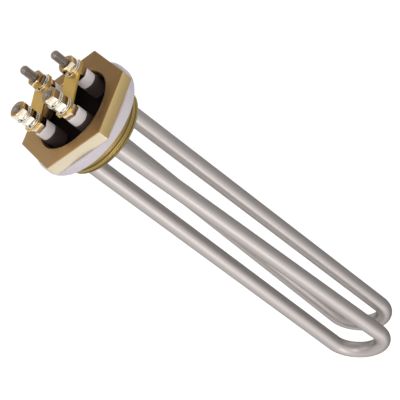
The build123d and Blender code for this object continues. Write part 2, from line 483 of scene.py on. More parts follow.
@dataclass(frozen=True)
class PlugBrass(Mottled):
    """Forged brass plug, its flats pale and satin, its turned face browned by the brazing furnace.

    The browned face runs over the rim into the cup, where the heat left a black skin. The face has a painted
    shade that darkens it towards the rear right, and the front flat has a painted highlight that makes it
    paler than the others. The thread is duller and more olive than the flats, with the oil of the die still in it.

    Attributes:
        face_colour: Browned brass of the face and the cup's wall, as sRGB hex.
        painted_face_shade: Painted shade of the face, strongest at the rear right, as sRGB hex.
        painted_flat_highlight: Painted highlight on the front flat, as sRGB hex.
        thread_colour: Dull brass of the thread, as sRGB hex.
        skin_colour: Black skin in the cup, as sRGB hex.
        face_radius_mm: Radius inside which the plug is browned, above the thread.
        face_height_mm: Height above which the plug is browned.
        skin_height_mm: Height below which the cup is black.
        ring_mm: Width of the turning lines.
    """

    face_colour: str = "#b39062"
    painted_face_shade: str = "#8d6c42"
    painted_flat_highlight: str = "#d8ccb2"
    thread_colour: str = "#a9945f"
    skin_colour: str = "#17110f"
    face_radius_mm: float = 21.5
    face_height_mm: float = 9.8
    skin_height_mm: float = 5.8
    ring_mm: float = 0.25

    def dress(self, tree: bpy.types.NodeTree, surface: bpy.types.Node) -> None:
        """Adds the browned face with its painted shade, the painted highlight on the front flat, the black skin, the
        dull thread and the turning lines.

        Args:
            tree: Node tree of the material.
            surface: Its shader.
        """
        super().dress(tree, surface)
        flats = surface.inputs["Base Color"].links[0].from_node
        place = add(tree, "ShaderNodeTexCoord")
        parts = add(tree, "ShaderNodeSeparateXYZ", links={"Vector": (place, "Object")})
        level = add(tree, "ShaderNodeCombineXYZ", links={"X": (parts, "X"), "Y": (parts, "Y")})
        radius = add(tree, "ShaderNodeVectorMath", {"operation": "LENGTH"}, {0: (level, "Vector")})

        def ramp(source: tuple[bpy.types.Node, str], start: float, end: float) -> bpy.types.Node:
            """Runs from 0 to 1 while a length goes from one number of millimetres to another."""
            limits = {"From Min": start * MM, "From Max": end * MM, "interpolation_type": "SMOOTHSTEP"}
            return add(tree, "ShaderNodeMapRange", limits, {"Value": source})

        def both(first: bpy.types.Node, second: bpy.types.Node, rule: str) -> bpy.types.Node:
            """Joins two masks by a rule of arithmetic."""
            outputs = {0: (first, first.outputs[0].name), 1: (second, second.outputs[0].name)}
            return add(tree, "ShaderNodeMath", {"operation": rule}, outputs)

        def mix(mask: bpy.types.Node, under: tuple[bpy.types.Node, int], colour: str) -> bpy.types.Node:
            """Lays a colour over another one where a mask says."""
            return add(
                tree,
                "ShaderNodeMix",
                {"data_type": "RGBA", 7: linear(colour)},
                {0: (mask, mask.outputs[0].name), 6: under},
            )

        above = ramp((parts, "Z"), 1.0, 2.0)
        within = ramp((radius, "Value"), self.face_radius_mm, self.face_radius_mm - 1.0)
        on_face = ramp((parts, "Z"), self.face_height_mm - 0.25, self.face_height_mm)
        browned = both(both(above, within, "MULTIPLY"), on_face, "MAXIMUM")
        deep = ramp((parts, "Z"), self.skin_height_mm + 0.6, self.skin_height_mm - 0.6)
        black = both(both(above, within, "MULTIPLY"), deep, "MULTIPLY")
        threaded = ramp((parts, "Z"), 0.5, -0.5)
        rings = add(
            tree,
            "ShaderNodeTexNoise",
            {"noise_dimensions": "1D", "Scale": 1 / (self.ring_mm * MM), "Detail": 2.0},
            {"W": (radius, "Value")},
        )
        # Painted shade: a ramp across the plug darkens the face towards the rear right.
        across = add(tree, "ShaderNodeVectorMath", {"operation": "DOT_PRODUCT", 1: (0.67, 0.74, 0.0)}, {0: (place, "Object")})
        face_shade_ramp = add(
            tree,
            "ShaderNodeMapRange",
            {"From Min": -0.022, "From Max": 0.02, "To Min": 0.0, "To Max": 0.85},
            {"Value": (across, "Value")},
        )
        lined = add(tree, "ShaderNodeMath", {"operation": "MULTIPLY_ADD", 1: 0.3, 2: -0.1}, {0: (rings, "Fac")})
        tone = both(face_shade_ramp, lined, "ADD")
        # Face colour with the turning lines and the painted shade.
        turning = add(
            tree,
            "ShaderNodeMix",
            {"data_type": "RGBA", 6: linear(self.face_colour), 7: linear(self.painted_face_shade)},
            {0: (tone, "Value")},
        )
        # Painted highlight: the flat that faces the front, a little to the right, is painted paler.
        facing = add(tree, "ShaderNodeVectorMath", {"operation": "DOT_PRODUCT", 1: (0.276, -0.961, 0.0)}, {0: (place, "Normal")})
        flat_highlight_mask = add(tree, "ShaderNodeMapRange", {"From Min": 0.85, "From Max": 0.97}, {"Value": (facing, "Value")})
        colour = mix(flat_highlight_mask, (flats, 2), self.painted_flat_highlight)
        colour = mix(threaded, (colour, 2), self.thread_colour)
        colour = add(
            tree,
            "ShaderNodeMix",
            {"data_type": "RGBA"},
            {0: (browned, "Value"), 6: (colour, 2), 7: (turning, 2)},
        )
        colour = mix(black, (colour, 2), self.skin_colour)
        tree.links.new(colour.outputs[2], surface.inputs["Base Color"])
        gloss = surface.inputs["Roughness"].links[0].from_node
        soot = add(
            tree,
            "ShaderNodeMix",
            {"data_type": "FLOAT", 3: 0.8},
            {0: (black, "Value"), 2: (gloss, "Result")},
        )
        tree.links.new(soot.outputs[0], surface.inputs["Roughness"])


@dataclass(frozen=True)
class PaintedFacetLightNut(Mottled):
    """Brass nut with painted light and shade by facet: a painted highlight on the front facets and painted tan shade
    elsewhere.

    Attributes:
        shaded_facet_colour: Painted tan shade on the facets that face away, as sRGB hex.
        bright_side: Direction that the facets with the painted highlight face.
    """

    shaded_facet_colour: str = "#b08f5f"
    bright_side: tuple[float, float, float] = (-0.1, -0.95, -0.3)

    def dress(self, tree: bpy.types.NodeTree, surface: bpy.types.Node) -> None:
        """Adds the painted light and shade by facet direction.

        Args:
            tree: Node tree of the material.
            surface: Its shader.
        """
        super().dress(tree, surface)
        lit_facet_colour = surface.inputs["Base Color"].links[0].from_node
        place = add(tree, "ShaderNodeTexCoord")
        # Painted light: facets towards the front get the pale colour as a painted highlight, the others the tan colour
        # as painted shade.
        facing = add(
            tree, "ShaderNodeVectorMath", {"operation": "DOT_PRODUCT", 1: self.bright_side}, {0: (place, "Normal")}
        )
        left = add(tree, "ShaderNodeMapRange", {"From Min": 0.0, "From Max": 0.6}, {"Value": (facing, "Value")})
        painted_facet_mix = add(
            tree,
            "ShaderNodeMix",
            {"data_type": "RGBA", 6: linear(self.shaded_facet_colour)},
            {0: (left, "Result"), 7: (lit_facet_colour, 2)},
        )
        tree.links.new(painted_facet_mix.outputs[2], surface.inputs["Base Color"])


@dataclass(frozen=True)
class SheathSteel(Finish):
    """Drawn and polished stainless tube, satin, blackened by heat where it stands in the cup.

    The drawing leaves faint lines along the tube, so its highlight is a soft band with streaks. Above the
    plug the tube was brazed in a furnace and not cleaned, which leaves a dull purple-black skin.

    Attributes:
        streak_mm: Width of the drawing lines.
        streak_length_mm: Length of the drawing lines.
        scale_colour: Colour of the black skin, as sRGB hex.
        scale_from_mm: Height at which the skin begins.
        scale_to_mm: Height at which it is full.
        edge: Brightness of the glancing reflections, 1 for clean metal.
    """

    streak_mm: float = 0.35
    streak_length_mm: float = 40.0
    scale_colour: str = "#3a302e"
    scale_from_mm: float = 1.0
    scale_to_mm: float = 3.0
    edge: float = 0.35

    def dress(self, tree: bpy.types.NodeTree, surface: bpy.types.Node) -> None:
        """Adds the drawing lines and the black skin.

        Args:
            tree: Node tree of the material.
            surface: Its shader.
        """
        place = add(tree, "ShaderNodeTexCoord")
        stretch = add(
            tree,
            "ShaderNodeMapping",
            {"Scale": (1 / self.streak_mm, 1 / self.streak_length_mm, 1.0)},
            {"Vector": (place, "UV")},
        )
        lines = add(tree, "ShaderNodeTexNoise", {"Scale": 1.0, "Detail": 3.0}, {"Vector": (stretch, "Vector")})
        steel = add(
            tree,
            "ShaderNodeMix",
            {"data_type": "RGBA", 6: linear("#b0a9a5"), 7: linear(self.colour)},
            {0: (lines, "Fac")},
        )
        parts = add(tree, "ShaderNodeSeparateXYZ", links={"Vector": (place, "Object")})
        skin = add(
            tree,
            "ShaderNodeMapRange",
            {"From Min": self.scale_from_mm * MM, "From Max": self.scale_to_mm * MM},
            {"Value": (parts, "Z")},
        )
        both = add(
            tree,
            "ShaderNodeMix",
            {"data_type": "RGBA", 7: linear(self.scale_colour)},
            {0: (skin, "Result"), 6: (steel, 2)},
        )
        tree.links.new(both.outputs[2], surface.inputs["Base Color"])
        shine = add(
            tree,
            "ShaderNodeMapRange",
            {"To Min": self.metallic, "To Max": 0.0},
            {"Value": (skin, "Result")},
        )
        tree.links.new(shine.outputs["Result"], surface.inputs["Metallic"])
        gloss = add(
            tree,
            "ShaderNodeMapRange",
            {"From Min": 0.3, "From Max": 0.7, "To Min": self.roughness - 0.05, "To Max": self.roughness + 0.05},
            {"Value": (lines, "Fac")},
        )
        tree.links.new(gloss.outputs["Result"], surface.inputs["Roughness"])
        surface.inputs["Specular Tint"].default_value = (self.edge, self.edge, self.edge, 1.0)


@dataclass(frozen=True)
class Workshop:
    """All finishes of the heater, each named for what the real one is."""

    # Forged brass: pale satin flats, a browned face, a black cup and an olive thread
    plug_brass: Finish = PlugBrass(
        "forged_brass_plug", "#dec48b", 1.0, 0.4, second="#cbb07a", patch_mm=2.5, grain_mm=0.4, grain_height_mm=0.006, edge=0.8
    )
    # Moulded rubber: matt lavender-white, no gloss to speak of
    gasket_white: Finish = Mottled(
        "moulded_white_rubber", "#cbc2c7", 0.0, 0.55, second="#d3cbd1", patch_mm=5.0, grain_mm=0.3
    )
    sheath_steel: Finish = SheathSteel("drawn_stainless_tube", "#c2bbb9", 1.0, 0.46)
    # Pressed steatite, unglazed: fine matt white with a faint lavender cast
    bead_ceramic: Finish = Mottled(
        "pressed_steatite", "#e0d8da", 0.0, 0.42, second="#e9e3e4", patch_mm=3.0, grain_mm=0.2, grain_height_mm=0.003
    )
    # Brass nut: painted highlight on the front facets, painted tan shade on the rest, warm reflections
    nut_brass: Finish = PaintedFacetLightNut(
        "nickel_flashed_brass_nut", "#ddd0b5", 1.0, 0.16, second="#efe8da", patch_mm=2.0, grain_mm=0.2
    )
    # Zinc-plated steel washer: bright and nearly white
    washer_steel: Finish = Mottled(
        "zinc_plated_steel_washer", "#cfcac2", 1.0, 0.26, second="#e2dccd", patch_mm=2.0, grain_mm=0.2
    )
    # Plain steel stud, dulled: dark warm grey with soft glints on the thread
    stud_steel: Finish = Mottled(
        "dulled_steel_stud", "#857a70", 1.0, 0.36, second="#9b9187", patch_mm=1.6, grain_mm=0.2
    )
    # Rolled brass strip: clear yellow, smoother than the plug
    jumper_brass: Finish = Mottled(
        "rolled_brass_strip", "#d1a94f", 1.0, 0.32, second="#dab664", patch_mm=4.0, grain_mm=0.25
    )
    # Brazing alloy as it froze: pale gold, slightly lumpy
    braze_alloy: Finish = Mottled(
        "frozen_brazing_alloy", "#b89d63", 1.0, 0.4, second="#cdb98a", patch_mm=1.2, grain_mm=0.5, grain_height_mm=0.03
    )
    # Compacted magnesia powder: chalky off-white
    magnesia_powder: Finish = Mottled(
        "compacted_magnesia", "#d8d2c4", 0.0, 0.9, second="#e4dfd4", patch_mm=1.5, grain_mm=0.2
    )
    # Resistance winding: dark grey wire, its turns too fine to show here
    winding_wire: Finish = Mottled(
        "resistance_winding", "#7a7672", 1.0, 0.45, second="#8f8b86", patch_mm=1.0, grain_mm=0.4
    )
    # Cured sealing resin: glossy red-brown
    seal_resin: Finish = Mottled("cured_sealing_resin", "#4e3428", 0.0, 0.3, second="#5d4032", patch_mm=1.0)


# Sub-assemblies


@dataclass
class Route:
    """Way of one hairpin: down through the plug, a slight kink outwards, a long leg, and the round bend.

    All fields are millimetres or degrees, as in the CAD source.
    """

    leg_circle: float = 13.305
    leg_bearing: float = 46.8
    splay: float = 1.3
    lean: float = 0.55
    kink_height: float = -12.2
    bottom: float = -215.0
    tube_radius: float = 4.0
    kink_ease: float = 5.0

    @property
    def leg_x(self) -> float:
        """X of a leg in the plug."""
        return self.leg_circle * np.cos(np.radians(self.leg_bearing))

    @property
    def leg_y(self) -> float:
        """Y of a leg in the plug."""
        return self.leg_circle * np.sin(np.radians(self.leg_bearing))

    def in_plane(self, row: Row, x: np.ndarray, drop: np.ndarray) -> np.ndarray:
        """Places in a row's tilted plane, from X and the distance down the plane."""
        lean = np.radians(self.lean)
        y = row.value * (self.leg_y - drop * np.sin(lean))
        return np.stack((x + 0 * drop, y + 0 * x, self.kink_height - drop * np.cos(lean) + 0 * x), -1)

    def centres(self, row: Row, top: float) -> tuple[np.ndarray, np.ndarray]:
        """Places and directions along the whole hairpin, from the right mouth to the left one.

        The leg runs from the kink to the bend's tangent point, the bend is a half circle less the splay on
        each side, and the kink is eased by a quadratic curve between points a few millimetres from it.

        Args:
            row: Row of the hairpin.
            top: Height of the mouths.

        Returns:
            The places and the directions, rows by three each.
        """
        lean, splay = np.radians(self.lean), np.radians(self.splay)
        reach = (-self.bottom - self.tube_radius + self.kink_height) / np.cos(lean)
        bend = (self.leg_x + reach * np.tan(splay)) / (
            np.cos(splay) + np.tan(splay) * (1 + np.sin(splay))
        )
        angle = np.linspace(-splay, np.pi + splay, 73)
        arc = self.in_plane(row, bend * np.cos(angle), reach - bend + bend * np.sin(angle))
        kink = self.in_plane(row, np.array(self.leg_x), np.array(0.0))
        above = kink + [0, 0, self.kink_ease]
        below = kink + (arc[0] - kink) / np.linalg.norm(arc[0] - kink) * self.kink_ease
        share = np.linspace(0, 1, 9)[:, None]
        ease = (1 - share) ** 2 * above + 2 * share * (1 - share) * kink + share**2 * below
        mouth = np.array([kink[0], kink[1], top])
        down = mouth + (above - mouth) * np.linspace(0, 1, 6)[:-1, None]
        leg = below + (arc[0] - below) * np.linspace(0, 1, 24)[1:-1, None]
        half = np.concatenate((down, ease, leg))
        other = half[::-1] * [-1, 1, 1]
        places = np.concatenate((half, arc, other))
        return places, np.gradient(places, axis=0)


@dataclass
class ScrewPlug:
    """Brass hexagon with its cup and pipe thread, and the gasket round it."""

    finishes: dict[str, bpy.types.Material]
    across_flats: float = 50.0
    top: float = 10.0
    back: float = 4.4
    turn: float = 16.0
    corner_radius: float = 0.35
    edge_radius: float = 0.25
    cup_radius: float = 18.305
    cup_floor: float = 4.4
    rim_width: float = 1.5
    rim_depth: float = 2.6
    relief_radius: float = 19.3
    thread_radius: float = 20.95
    thread_pitch: float = 2.309
    thread_depth: float = 1.0
    thread_length: float = 9.2
    thread_rows: int = 110
    gasket_inner: float = 21.105
    gasket_outer: float = 26.705

    def hexagon_profile(self, angles: np.ndarray) -> np.ndarray:
        """Profile from the cup's middle over the face and the flats to the thread relief.

        The rim falls from the face into the cup along a quarter of an ellipse, and the flats' upper and
        lower edges are broken by a quarter circle.

        Args:
            angles: Angles of the columns.

        Returns:
            Radius and height, rows by columns by two.
        """
        ones = np.ones_like(angles)
        quarter = np.linspace(np.pi / 2, 0, 10)[::-1]
        floor = np.array([[0.0, self.cup_floor], [self.cup_radius - 0.8, self.cup_floor]])
        corner = np.linspace(-np.pi / 2, 0, 6)
        foot = np.stack(
            (self.cup_radius - 0.8 + 0.8 * np.cos(corner), self.cup_floor + 0.8 + 0.8 * np.sin(corner)), -1
        )
        rim = np.stack(
            (
                self.cup_radius + self.rim_width * (1 - np.cos(quarter)),
                self.top - self.rim_depth * (1 - np.sin(quarter)),
            ),
            -1,
        )
        inner = np.concatenate((floor, foot, rim))[:, None, :] * ones[None, :, None]
        flat = self.across_flats / 2
        outline = hexagon_radius(angles, flat, self.corner_radius, np.radians(self.turn))
        arc = np.linspace(np.pi / 2, 0, 5)[:, None]
        inset, fall = self.edge_radius * (1 - np.cos(arc)), self.edge_radius * (1 - np.sin(arc))
        upper = np.stack((outline - inset, self.top - fall + 0 * outline), -1)
        lower = np.stack((outline - inset, self.back + fall + 0 * outline), -1)[::-1]
        relief = np.array([self.relief_radius, self.back]) * ones[None, :, None]
        return np.concatenate((inner, upper, lower, relief))

    def thread_profile(self, angles: np.ndarray) -> np.ndarray:
        """Profile of the thread, from the relief to the middle of the plug's end.

        The crest falls to the relief in the first millimetre, and to a 45 degree chamfer in the last.

        Args:
            angles: Angles of the columns.

        Returns:
            Radius and height, rows by columns by two.
        """
        height = np.linspace(0, -self.thread_length, self.thread_rows)[:, None]
        crest = self.thread_radius - thread_drop(height, angles, self.thread_pitch, self.thread_depth)
        chamfer = self.thread_radius - 1.1 + (height + self.thread_length)
        runout = self.relief_radius - height * 1.5
        radius = np.minimum(crest, np.minimum(chamfer, runout))
        helix = np.stack((radius, height + 0 * angles), -1)
        end = np.zeros((1, len(angles), 2)) + [0.0, -self.thread_length]
        return np.concatenate((helix, end))

    def build(self) -> None:
        """Makes the plug and the gasket."""
        angles = hexagon_angles(self.corner_radius / (self.across_flats / 2), np.radians(self.turn), 22, 5)
        profile = np.concatenate((self.hexagon_profile(angles), self.thread_profile(angles)))
        Piece(
            "brass_plug", "plug_body", "plug_brass", self.finishes["plug_brass"], [turned(profile, 0, 0, angles)], 30.0
        ).build()
        ring = turned_ring(
            [
                (self.gasket_inner, 0.02, 0.2),
                (self.gasket_outer, 0.02, 0.7),
                (self.gasket_outer, 4.38, 0.9),
                (self.gasket_inner, 4.38, 0.2),
            ],
            0,
            0,
            160,
        )
        Piece("white_gasket", "sealing_gasket", "gasket_white", self.finishes["gasket_white"], [ring]).build()


@dataclass
class HairpinElement:
    """One hairpin tube with its two open mouths."""

    row: Row
    finishes: dict[str, bpy.types.Material]
    route: Route = field(default_factory=Route)
    mouth: float = 11.0
    wall: float = 0.8
    lip_radius: float = 0.3
    mouth_depth: float = 2.4

    def build(self) -> None:
        """Makes the sheath.

        The circle runs along the route. At each mouth it goes over a rounded lip and down inside to a
        plug of resin, where the surface closes.
        """
        places, ways = self.route.centres(self.row, self.mouth)
        outer, inner, lip = self.route.tube_radius, self.route.tube_radius - self.wall, self.lip_radius
        arc = np.linspace(0, np.pi / 2, 5)
        drop = np.concatenate(([self.mouth_depth, self.mouth_depth, lip], lip * (1 - np.sin(arc)), lip * (1 - np.cos(arc))))
        radii = np.concatenate(([0.0, inner, inner], inner + lip * (1 - np.cos(arc)), outer - lip * (1 - np.sin(arc))))
        start = places[0] - [0, 0, 1] * drop[:, None]
        end = places[-1] - [0, 0, 1] * drop[::-1, None]
        keep = places[1:-1]
        centres = np.concatenate((start, keep, end))
        down = np.tile([0.0, 0.0, -1.0], (len(drop), 1))
        ways = np.concatenate((down, ways[1:-1], -down))
        radii = np.concatenate((radii, np.full(len(keep), outer), radii[::-1]))
        along = np.concatenate(([0.0], np.cumsum(np.linalg.norm(np.diff(centres, axis=0), axis=1))))
        columns = 48
        side = np.array([0.0, np.cos(np.radians(self.route.lean)), 0.0])
        tube = swept(
            centres,
            ways,
            side,
            radii,
            columns,
            across=np.linspace(0, TAU * outer, columns + 1),
            along=np.append(along, along[-1]),
        )
        name = self.row.name.lower()
        Piece(
            f"{name}_hairpin", f"{name}_element_sheath", "sheath_steel", self.finishes["sheath_steel"], [tube]
        ).build()


@dataclass
class BrazedJoints:
    """Hollow fillets of brazing alloy round the tubes, on the water side of the plug."""

    finishes: dict[str, bpy.types.Material]
    route: Route = field(default_factory=Route)
    face: float = -9.2
    leg: float = 1.2

    def build(self) -> None:
        """Makes the four joints as one piece.

        Each is turned from a triangle whose long side is hollow: a quarter circle about the outer corner.
        """
        inner = self.route.tube_radius + 0.02
        quarter = np.linspace(0, np.pi / 2, 9)
        hollow = np.stack(
            (inner + self.leg * (1 - np.sin(quarter)), self.face - self.leg * (1 - np.cos(quarter))), -1
        )
        profile = np.concatenate(([[inner, self.face + 0.2], [inner + self.leg, self.face + 0.2]], hollow))
        angles = np.linspace(0, TAU, 48, endpoint=False)
        grids = [
            turned(profile[:, None], side.value * self.route.leg_x, row.value * self.route.leg_y, angles, round_rows=True)
            for row in Row
            for side in Side
        ]
        Piece("brazed_joints", "braze_fillets", "braze_alloy", self.finishes["braze_alloy"], grids).build()


@dataclass
class TerminalPost:
    """One leg's terminal: stud, ceramic bead, nuts and washers, from the tube's mouth upwards."""

    side: Side
    row: Row
    nut_turns: dict[str, float]
    finishes: dict[str, bpy.types.Material]
    route: Route = field(default_factory=Route)
    mouth: float = 11.0
    bead_radius: float = 3.8
    bead_top: float = 16.2
    stud_radius: float = 2.0
    stud_pitch: float = 0.7
    stud_depth: float = 0.38
    stud_tips: dict[Row, float] = field(default_factory=lambda: {Row.FRONT: 30.7, Row.REAR: 31.8})
    pin_radius: float = 1.3
    pin_reach: float = 32.0
    nut_flats: float = 7.0
    nut: float = 3.2
    jumper: float = 1.0
    washer_radius: float = 4.15
    washer: float = 0.6
    spring_radius: float = 3.8
    spring: float = 0.9
    slit: float = 0.7

    @property
    def place(self) -> tuple[float, float]:
        """X and Y of the post."""
        return self.side.value * self.route.leg_x, self.row.value * self.route.leg_y

    @property
    def label(self) -> str:
        """Name of the post's place, as in the CAD nodes."""
        return f"{self.row.name.lower()}_{self.side.name.lower()}"

    def piece(self, name: str, node: str, slot: str, grids: list[Grid], sharp_angle: float = 38.0) -> None:
        """Makes one piece of the post."""
        Piece(f"{name}_{self.label}", f"{node}_{self.label}", slot, self.finishes[slot], grids, sharp_angle).build()

    def stud_grid(self) -> Grid:
        """Threaded stud above, plain shank in the bead, and the thin pin that goes on down inside the tube.

        Above the bead's foot the radius is the crest less the thread's depth, with a 45 degree tip. Below
        it the pin follows the leg.
        """
        angles = np.linspace(0, TAU, 32, endpoint=False)
        stud_tip = self.stud_tips[self.row]
        height = np.linspace(stud_tip, self.bead_top - 0.3, 220)[:, None]
        crest = self.stud_radius - thread_drop(height, angles, self.stud_pitch, self.stud_depth)
        radius = np.minimum(crest, 1.35 + (stud_tip - height))
        thread = np.stack((radius, height + 0 * angles), -1)
        tip = np.zeros((1, 32, 2)) + [0.0, stud_tip]
        shank = np.array([[1.7, self.bead_top - 0.4], [1.7, self.mouth], [self.pin_radius, self.mouth]])
        shank = shank[:, None] + np.zeros((1, 32, 1))
        upper = turned(np.concatenate((tip, thread, shank)), *self.place, angles)
        leg, _ = self.route.centres(self.row, self.mouth)
        leg = leg[leg[:, 0] > 0] * [self.side.value, 1, 1]
        far = np.cumsum(np.linalg.norm(np.diff(leg, axis=0), axis=1))
        leg = leg[1:][far < self.pin_reach + self.mouth - self.route.kink_height]
        centres = leg[:, None]
        ring = np.stack((np.cos(angles), np.sin(angles), 0 * angles), -1) * self.pin_radius
        end = np.broadcast_to(leg[-1], (1, 32, 3))
        upper.points = np.concatenate((upper.points, centres + ring, end))
        return upper

    def bead_grid(self) -> Grid:
        """Round bead with soft edges, and a skirt that stands in the tube's mouth."""
        corners = [
            (1.5, self.mouth - 2.0, 0.1),
            (3.0, self.mouth - 2.0, 0.1),
            (3.0, self.mouth + 0.01, 0.0),
            (self.bead_radius, self.mouth + 0.01, 0.6),
            (self.bead_radius, self.bead_top - 0.01, 0.9),
            (2.1, self.bead_top - 0.01, 0.1),
            (2.1, self.mouth, 0.0),
            (1.5, self.mouth, 0.0),
        ]
        return turned_ring(corners, *self.place, 56)

    def nut_grid(self, bottom: float, turn: float) -> Grid:
        """Hexagon nut, its corners turned off at the upper face by a 30 degree cone.

        Args:
            bottom: Height of its lower face.
            turn: Angle of one corner, in degrees.

        Returns:
            The closed nut.
        """
        flat, corner_radius, turn = self.nut_flats / 2, 0.12, np.radians(turn)
        angles = hexagon_angles(corner_radius / flat, turn, 7, 4)
        outline = hexagon_radius(angles, flat, corner_radius, turn)
        face, bore = flat * 0.96, self.stud_radius + 0.02
        drop = (outline - face) * np.tan(np.pi / 6)
        zero = 0 * outline
        low, high = bottom + 0.005, bottom + self.nut - 0.005
        corners = np.stack(
            (
                np.stack((zero + bore, zero + low + 0.25), -1),
                np.stack((zero + bore + 0.3, zero + low), -1),
                np.stack((outline, zero + low), -1),
                np.stack((outline, high - drop), -1),
                np.stack((zero + face, zero + high), -1),
                np.stack((zero + bore + 0.3, zero + high), -1),
                np.stack((zero + bore, zero + high - 0.25), -1),
            )
        )
        profile = rounded(corners, [0, 0, 0.12, 0.12, 0.1, 0, 0], 3)
        return turned(profile, *self.place, angles, round_rows=True)

    def washer_grid(self, bottom: float) -> Grid:
        """Flat washer with slightly rounded edges, lying at a height."""
        low, high = bottom + 0.005, bottom + self.washer - 0.005
        corners = [(2.15, low, 0.08), (self.washer_radius, low, 0.18), (self.washer_radius, high, 0.22), (2.15, high, 0.08)]
        return turned_ring(corners, *self.place, 56)

    def spring_grid(self, bottom: float) -> Grid:
        """Split lock washer: a ring cut open by a slanted slit.

        A rounded rectangle runs round the axis and stops short of a full turn by the slit. The slit's
        angle grows with height, and both ends close in the middle of the section.

        Args:
            bottom: Height of its lower face.

        Returns:
            The closed ring.
        """
        low, high = bottom + 0.005, bottom + self.spring - 0.005
        table = np.array(
            [(2.1, low, 0.1), (self.spring_radius, low, 0.2), (self.spring_radius, high, 0.2), (2.1, high, 0.1)]
        )
        profile = rounded(table[:, None, :2], list(table[:, 2]))
        gap = self.slit / 3.0
        angles = np.linspace(gap / 2, TAU - gap / 2, 48)
        slant = (profile[..., 1] - low) * np.tan(np.radians(20)) / 3.0
        angles = angles - np.pi / 2 + slant
        x, y = self.place
        points = np.stack(
            (x + profile[..., 0] * np.cos(angles), y + profile[..., 0] * np.sin(angles), profile[..., 1] + 0 * angles), -1
        )
        first = np.broadcast_to(points[:, :1].mean(0, keepdims=True), (len(points), 1, 3))
        last = np.broadcast_to(points[:, -1:].mean(0, keepdims=True), (len(points), 1, 3))
        return Grid(np.concatenate((first, points, last), 1), round_rows=True)

    def build(self) -> None:
        """Makes the pieces from the bead upwards, each on the one below it."""
        self.piece("stud", "terminal_pin", "stud_steel", [self.stud_grid()], 50.0)
        self.piece("bead", "ceramic_bead", "bead_ceramic", [self.bead_grid()])
        level = self.bead_top
        self.piece("nut_under", "under_nut", "nut_brass", [self.nut_grid(level, self.nut_turns["under"])], 28.0)
        level += self.nut + self.jumper
        for use in ("clamp", "lead") if self.row is Row.FRONT else ("clamp",):
            self.piece(f"washer_{use}", f"{use}_washer", "washer_steel", [self.washer_grid(level)])
            level += self.washer
            self.piece(f"spring_{use}", f"{use}_spring_washer", "washer_steel", [self.spring_grid(level)])
            level += self.spring
            nut = self.nut_grid(level, self.nut_turns[use])
            self.piece(f"nut_{use}", f"{use}_nut", "nut_brass", [nut], 28.0)
            level += self.nut


@dataclass
class JumperPlate:
    """Brass strip that joins the front and rear posts of one side."""

    side: Side
    finishes: dict[str, bpy.types.Material]
    route: Route = field(default_factory=Route)
    width: float = 8.4
    corner: float = 1.8
    bottom: float = 19.4
    thickness: float = 1.0
    hole_radius: float = 2.15

    def half(self, row: Row) -> list[Grid]:
        """Half of the plate round one post, as far as the middle of the strip.

        Round the hole, the distance to the outline in a direction is the least of the distances to its
        straight edges, each being the edge's own distance over the cosine of the angle from its normal.

        Args:
            row: Row of the post.

        Returns:
            Lower and upper face, wall of the hole and outer wall.
        """
        half, reach = self.width / 2, self.route.leg_y
        cut = (2 * half - self.corner) / np.sqrt(2)
        distances = np.array([half, cut, half, cut, half, reach])[:, None]
        normals = np.radians([0, 45, 90, 135, 180, 270])[:, None]
        start = -np.arctan2(reach, half)
        bend = np.arctan2(half - self.corner, half)
        outer = np.unique(
            np.concatenate(
                (
                    np.linspace(start, np.pi - start, 60),
                    [bend, np.pi / 2 - bend, np.pi / 2 + bend, np.pi - bend],
                )
            )
        )
        middle = np.linspace(np.pi - start, TAU + start, 24)[1:]
        angles = np.concatenate((outer, middle))
        facing = np.cos(angles - normals)
        edge = np.where(facing > 1e-6, distances / np.maximum(facing, 1e-6), 1e9).min(0)
        inner = np.full_like(angles, self.hole_radius)
        way = np.stack((np.cos(angles), row.value * np.sin(angles)), -1)
        at = np.array([self.side.value * self.route.leg_x, row.value * reach])
        low, high = self.bottom + 0.005, self.bottom + self.thickness - 0.005

        def ring(radius: np.ndarray, height: float) -> np.ndarray:
            """Ring of points at a radius in each direction and one height."""
            flat = at + radius[:, None] * way
            return np.concatenate((flat, np.full((len(radius), 1), height)), 1)

        rings = [ring(inner, low), ring(edge, low), ring(edge, high), ring(inner, high)]
        outer_part = slice(0, len(outer))
        return [
            Grid(np.stack(rings[0:2])),
            Grid(np.stack(rings[2:4])),
            Grid(np.stack((rings[3], rings[0]))),
            Grid(np.stack((rings[1][outer_part], rings[2][outer_part]))),
        ]

    def build(self) -> None:
        """Makes the plate from its two halves."""
        name = self.side.name.lower()
        grids = self.half(Row.FRONT) + self.half(Row.REAR)
        Piece(
            f"jumper_{name}", f"jumper_plate_{name}", "jumper_brass", self.finishes["jumper_brass"], grids, bevel=0.14
        ).build()


# Studio


@dataclass(frozen=True)
class Lamp:
    """One soft lamp.

    Attributes:
        name: Name of the lamp.
        place: Its place, in metres.
        size: Width and height of its face, in metres.
        power: Its power, in watts.
        target: Point that it faces.
    """

    name: str
    place: tuple[float, float, float]
    size: tuple[float, float]
    power: float
    target: tuple[float, float, float] = (0.0, 0.0, -0.06)

    def build(self) -> None:
        """Makes the lamp, unseen by the camera itself."""
        data = bpy.data.lights.new(self.name, "AREA")
        data.shape = "RECTANGLE"
        data.size, data.size_y = self.size
        data.energy = self.power
        made = bpy.data.objects.new(self.name, data)
        made.location = self.place
        way = Vector(self.target) - Vector(self.place)
        made.rotation_euler = way.to_track_quat("-Z", "Y").to_euler()
        made.visible_camera = False
        bpy.context.scene.collection.objects.link(made)


